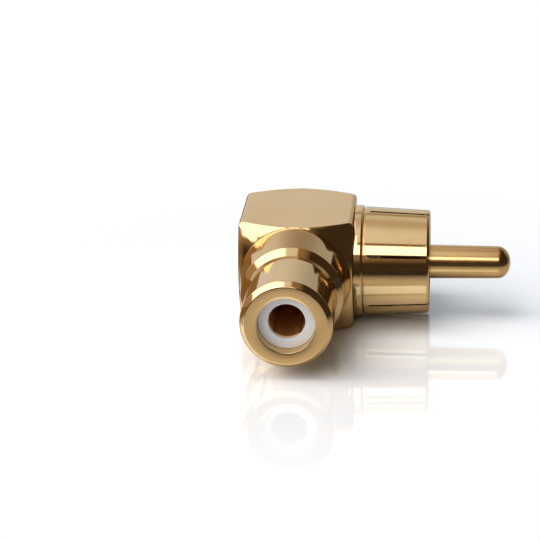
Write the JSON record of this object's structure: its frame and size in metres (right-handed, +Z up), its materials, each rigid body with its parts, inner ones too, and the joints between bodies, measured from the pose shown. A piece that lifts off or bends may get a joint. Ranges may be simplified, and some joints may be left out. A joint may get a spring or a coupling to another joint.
{
  "type": "rca adapter",
  "caption": "Right-angle audio adapter: a square gold-plated body with a stepped jack barrel on its front and a slotted phono plug with a round-tipped pin on its right.",
  "frame": {"origin": "centre of the body's bottom face, right under the point where the jack's axis crosses the plug's axis", "axes": "+X along the plug towards its pin's tip, -Y along the jack towards its mouth, +Z up from the face that it rests on"},
  "size_m": [0.0252, 0.0208, 0.0106],
  "materials": {
    "body_gold": "machined brass, polished gold plate",
    "shell_gold": "turned brass, polished gold plate",
    "pin_gold": "turned brass, polished gold plate",
    "plug_plastic": "white turned plastic",
    "jack_plastic": "white turned plastic",
    "contact_gold": "gold-flashed spring brass"
  },
  "bodies": {
    "root": {"body": "body_gold", "plug_shell": "shell_gold", "plug_pin": "pin_gold", "plug_insulator": "plug_plastic", "jack_insulator": "jack_plastic", "jack_contact": "contact_gold"}
  },
  "joints": []
}
